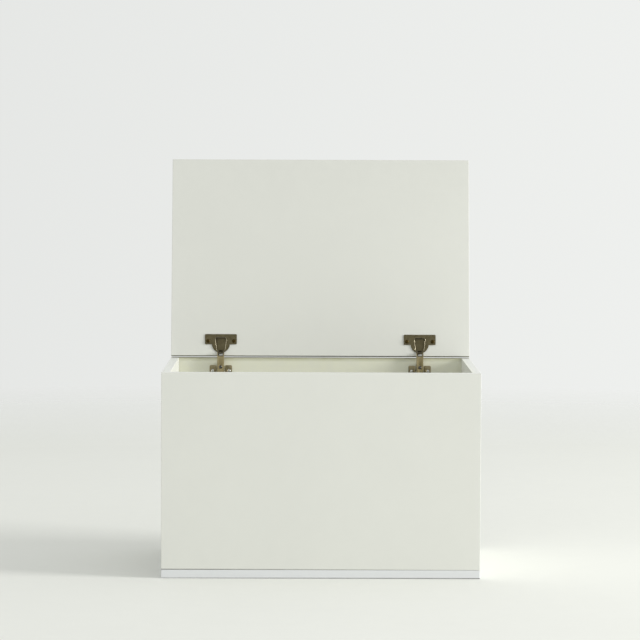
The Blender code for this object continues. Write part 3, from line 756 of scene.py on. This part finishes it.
arms = [bar(screw_tree, arm_length, cross_width, deep, height),
        bar(screw_tree, cross_width, arm_length, deep, height)]
set_out(screw_tree, entry, leave, cut(screw_tree, screw_body, arms))
print("screw tree:", len(screw_tree.nodes), "nodes")

# %% [markdown]
# The lid's screws are yellow and hold the cups. The wings of the mounting plates are
# held by the same kind of screw in a bright zinc. Two dark machine screws join each
# arm to its plate, and six long countersunk screws hold the base board from below.

# %% Set the screws
EDGE_SHARE = 0.25


def set_screws(name, names, out, body, slot, finish, cross_width, cross_depth, spin):
    """One piece that stands for all these screws, with a different turn for each."""
    found = [screw_of(screw, out) for screw in names]
    upright = out.to_track_quat("Z", "Y")
    places = []
    for k, one in enumerate(found):
        places.append((one["seat"], upright @ Quaternion((0, 0, 1), spin * (k + 1))))
    first = found[0]
    return grown(name, points_with_turns(name + "_places", places), screw_tree, body, slot, names,
                 Head_Radius=first["head"], Head_Height=first["height"],
                 Shank_Radius=first["shank"], Length=first["length"],
                 Edge=EDGE_SHARE * first["height"], Cross_Width=cross_width,
                 Cross_Depth=cross_depth, Finish=finish)


def both_sides(*patterns):
    """The names of the same parts of the left hinge and of the right one."""
    return [pattern % side for side in ("left", "right") for pattern in patterns]


set_screws("cup_screws", both_sides("cup_screw_%s_1", "cup_screw_%s_2"), out_of_lid, "lid",
           "yellow_zinc_steel", YELLOW_ZINC, 0.9 * MM, 1.4 * MM, 0.7)
set_screws("plate_screws", both_sides("plate_screw_%s_1", "plate_screw_%s_2"), forward_out, "box",
           "zinc_plated_steel", SCREW_ZINC, 1.3 * MM, 2.2 * MM, 0.45)
set_screws("arm_screws", both_sides("side_screw_%s", "arm_screw_%s"), forward_out, "box",
           "zinc_plated_steel", DARK_ZINC, 1.2 * MM, 1.8 * MM, 0.9)

# %% Set the base screws
base_names = ["base_screw_%d" % k for k in range(1, 7)]


def countersunk_of(name):
    """The middle of a countersunk screw's flat face, its head's radius and its length."""
    low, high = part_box(name)
    middle = (low + high) / 2
    return Vector((middle.x, middle.y, low.z)), (high.x - low.x) / 2, high.z - low.z


sunk_tree, entry, leave = tree_with(
    "countersunk_screw", *[(label, "NodeSocketFloat") for label in SIZES], ("Finish", "NodeSocketMaterial"))
head, height, shank, length, edge, cross_width, cross_depth = [
    entry.outputs[label] for label in SIZES]
tip = figure(sunk_tree, "MULTIPLY", length, -1.0)
shoulder = figure(sunk_tree, "ADD", tip, figure(sunk_tree, "MULTIPLY", shank, 3.0))
sunk_body = turned_body(sunk_tree, [
    (0.0, tip), (figure(sunk_tree, "MULTIPLY", shank, 0.2), tip), (shank, shoulder),
    (shank, figure(sunk_tree, "MULTIPLY", height, -1.0)),
    (head, figure(sunk_tree, "MULTIPLY", edge, -1.0)), (head, -0.02 * MM),
    (figure(sunk_tree, "MULTIPLY", head, 0.96), 0.0), (0.0, 0.0)])
arm_length = figure(sunk_tree, "MULTIPLY", head, 1.1)
deep = figure(sunk_tree, "MULTIPLY", cross_depth, 2.0)
arms = [bar(sunk_tree, arm_length, cross_width, deep, 0.0),
        bar(sunk_tree, cross_width, arm_length, deep, 0.0)]
set_out(sunk_tree, entry, leave, cut(sunk_tree, sunk_body, arms))

upright = down_out.to_track_quat("Z", "Y")
sunk = [countersunk_of(name) for name in base_names]
places = [(one[0], upright @ Quaternion((0, 0, 1), 0.6 * k)) for k, one in enumerate(sunk)]
grown("base_screws", points_with_turns("base_screw_places", places), sunk_tree, "box",
      "zinc_plated_steel", base_names, Head_Radius=sunk[0][1], Head_Height=3.0 * MM,
      Shank_Radius=2.0 * MM, Length=sunk[0][2], Edge=0.3 * MM, Cross_Width=1.1 * MM,
      Cross_Depth=2.2 * MM, Finish=BRIGHT_ZINC)

# %% [markdown]
# ## Cam fittings
#
# Flat-pack boxes are pulled together by cams: a short drum in the side board is
# turned with a screwdriver and hooks the head of a bolt from the next board. What
# shows is the drum's end, a ring with a slightly sunk face, a cross recess, and a
# notch in the rim that points at the bolt. The bore for the bolt really goes in.
# Where it goes follows from the boxes of the cam and of its bolt.

# %% The cam tree
CAM_SIZES = ("Radius", "Depth", "Bore Radius", "Bore Depth")
CAM_CHAMFER = 0.4 * MM
CAM_FACE = -0.35 * MM
CAM_CROSS, CAM_CROSS_DEPTH = (7.6 * MM, 1.7 * MM), 2.7 * MM
BORE_LENGTH = 20 * MM
BORE_PLAY = 0.3 * MM
NOTCH = (1.9 * MM, 1.1 * MM, 0.7 * MM)

cam_tree, entry, leave = tree_with(
    "cam_drum", *[(label, "NodeSocketFloat") for label in CAM_SIZES], ("Finish", "NodeSocketMaterial"))
radius, depth, bore_radius, bore_depth = [entry.outputs[label] for label in CAM_SIZES]
bottom = figure(cam_tree, "MULTIPLY", depth, -1.0)
above_bottom = figure(cam_tree, "ADD", bottom, CAM_CHAMFER)
inset = {share: figure(cam_tree, "SUBTRACT", radius, share * MM) for share in (0.4, 0.5, 1.5, 1.8)}
drum = turned_body(cam_tree, [
    (0.0, bottom), (inset[0.4], bottom), (radius, above_bottom), (radius, -CAM_CHAMFER),
    (inset[0.5], 0.0), (inset[1.5], 0.0), (inset[1.8], CAM_FACE), (0.0, CAM_FACE)])

bore = step(
    cam_tree, "GeometryNodeMeshCylinder", Vertices=20, Radius=bore_radius, Depth=BORE_LENGTH)
bore_at = step(
    cam_tree, "ShaderNodeCombineXYZ",
    _0=figure(cam_tree, "SUBTRACT", BORE_LENGTH / 2, bore_radius),
    _2=figure(cam_tree, "MULTIPLY", bore_depth, -1.0))
bore = step(
    cam_tree, "GeometryNodeTransform", Geometry=bore.outputs["Mesh"],
    Translation=bore_at.outputs[0], Rotation=(0, pi / 2, 0))

notch_at = step(
    cam_tree, "ShaderNodeCombineXYZ", _0=figure(cam_tree, "SUBTRACT", radius, 0.8 * MM))
notch = step(cam_tree, "GeometryNodeMeshCube", Size=NOTCH)
notch = step(
    cam_tree, "GeometryNodeTransform", Geometry=notch.outputs["Mesh"],
    Translation=notch_at.outputs[0])

cross = [bar(cam_tree, along, wide, 2 * CAM_CROSS_DEPTH, CAM_FACE)
         for along, wide in (CAM_CROSS, CAM_CROSS[::-1])]
set_out(cam_tree, entry, leave, cut(cam_tree, drum, [bore.outputs[0], notch.outputs[0], *cross]))
print("cam tree:", len(cam_tree.nodes), "nodes")

# %% Set the cams
cam_names = [
    name for name in nodes if name.startswith("cam_") and not name.startswith("cam_bolt_")]
places = []
for name in cam_names:
    low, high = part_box(name)
    bolt_low, bolt_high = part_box(name.replace("cam_", "cam_bolt_"))
    centre, bolt = (low + high) / 2, (bolt_low + bolt_high) / 2
    inward = Vector((-1 if centre.x > 0 else 1, 0, 0))
    to_bolt = Vector((0, 1 if bolt.y > centre.y else -1, 0))
    face = Vector((high.x if inward.x > 0 else low.x, centre.y, centre.z))
    frame_of_cam = Matrix((to_bolt, inward.cross(to_bolt), inward)).transposed()
    places.append((face, frame_of_cam.to_quaternion()))
    bore_depth = abs(face.x - bolt.x)
low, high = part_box(cam_names[0])
bolt_radius = (bolt_high.z - bolt_low.z) / 2
grown("cams", points_with_turns("cam_places", places), cam_tree, "box", "die_cast_zinc", cam_names,
      Radius=(high.z - low.z) / 2, Depth=high.x - low.x, Bore_Radius=bolt_radius + BORE_PLAY,
      Bore_Depth=bore_depth, Finish=CAM_ZINC)

# %% [markdown]
# ## Pins and bolts
#
# These are turned parts of which almost nothing shows. Their measured shapes are
# right, so they keep them. The pins take the finish of the links that turn on them,
# and the bolts take bright zinc.

# %% Coat the pins and bolts
coated_nodes = [name for name in nodes if "pin" in name or name.startswith("cam_bolt_")]
for name in coated_nodes:
    for holder in nodes[name].material_slots:
        holder.material = SHADED_LINK_NICKEL if "pin" in name else BRIGHT_ZINC
print(len(coated_nodes), "pins and bolts coated")

# %% [markdown]
# ## Light, floor and air
#
# A white studio: a soft sky for fill, a little brighter to the right, and one large
# panel of light from the right and slightly in front. The panel gives the box its bright left inner wall,
# its shaded right inner wall, and a soft shadow on the floor to the left. The floor
# fades into the sky behind, so that no horizon shows.

# %% Floor
FLOOR_REACH = 40.0
FADE_FROM, FADE_TO = 2.3, 4.2
FLOOR_TONE, FLOOR_SWING = (0.750, 0.757, 0.722), 0.03
FLOOR_DROP = 0.2 * MM

floor_mesh = bpy.data.meshes.new("floor")
corners = [(x * FLOOR_REACH, y * FLOOR_REACH, 0) for x, y in ((-1, -1), (1, -1), (1, 1), (-1, 1))]
floor_mesh.from_pydata(corners, [], [(0, 1, 2, 3)])
floor = bpy.data.objects.new("floor", floor_mesh)
floor.location.z = -FLOOR_DROP
bpy.context.collection.objects.link(floor)

paint = Finish("studio_floor", Roughness=0.75)
place = paint.place()
scuffs = paint.noise(place, 22.0, 5.0, 0.65)
sweep = paint.noise(place, 2.2, 3.0, 0.5)
tone = (scuffs - 0.5) * 0.5 + (sweep - 0.5) * 0.6 + 0.5
paint.feed(Base_Color=paint.mix(tone, *tones(FLOOR_TONE, FLOOR_SWING)))
paint.bump(scuffs, 1.0 * MM, 0.25)
x, y, z = paint.axes(place)
square = x * x + y * y
fade = square.math("SQRT", square).ramp(FADE_FROM, FADE_TO)
output = paint.tree.nodes["Material Output"]
clear = paint.node("ShaderNodeBsdfTransparent")
blend = paint.tree.nodes.new("ShaderNodeMixShader")
paint.tree.links.new(fade.socket, blend.inputs[0])
paint.tree.links.new(paint.shader.outputs[0], blend.inputs[1])
paint.tree.links.new(clear.socket, blend.inputs[2])
paint.tree.links.new(blend.outputs[0], output.inputs["Surface"])
floor_mesh.materials.append(paint.material)
print("floor fades out between %.1f and %.1f m" % (FADE_FROM, FADE_TO))

# %% Light
SKY_COLOR = (0.985, 1.0, 0.98)
SKY_LEFT, SKY_RIGHT = 0.79, 0.88
SKY_TURN = 0.16
KEY_PLACE = Vector((6.6, -1.55, 2.0))
KEY_TARGET = Vector((0, 0, 0.3))
KEY_SIZE = 2.2
KEY_POWER = 478.0
KEY_COLOR = (1.0, 0.99, 0.97)

world = bpy.data.worlds.new("studio_air")
world.use_nodes = True
air = world.node_tree
background = air.nodes["Background"]
direction = air.nodes.new("ShaderNodeTexCoord")
split = air.nodes.new("ShaderNodeSeparateXYZ")
across = air.nodes.new("ShaderNodeMapRange")
for end, direction_x, strength in (("Min", -SKY_TURN, SKY_LEFT), ("Max", SKY_TURN, SKY_RIGHT)):
    across.inputs["From " + end].default_value = direction_x
    across.inputs["To " + end].default_value = strength
air.links.new(direction.outputs["Generated"], split.inputs[0])
air.links.new(split.outputs["X"], across.inputs["Value"])
air.links.new(across.outputs[0], background.inputs["Strength"])
background.inputs["Color"].default_value = (*SKY_COLOR, 1)
bpy.context.scene.world = world

key_data = bpy.data.lights.new("key", "AREA")
key_data.shape, key_data.size = "SQUARE", KEY_SIZE
key_data.energy = KEY_POWER
key_data.color = KEY_COLOR
key = bpy.data.objects.new("key", key_data)
key.location = KEY_PLACE
key.rotation_euler = (KEY_TARGET - KEY_PLACE).to_track_quat("-Z", "Y").to_euler()
bpy.context.collection.objects.link(key)

bpy.context.scene.view_settings.view_transform = "Standard"
print("key light %.1f m away" % (KEY_PLACE - KEY_TARGET).length)
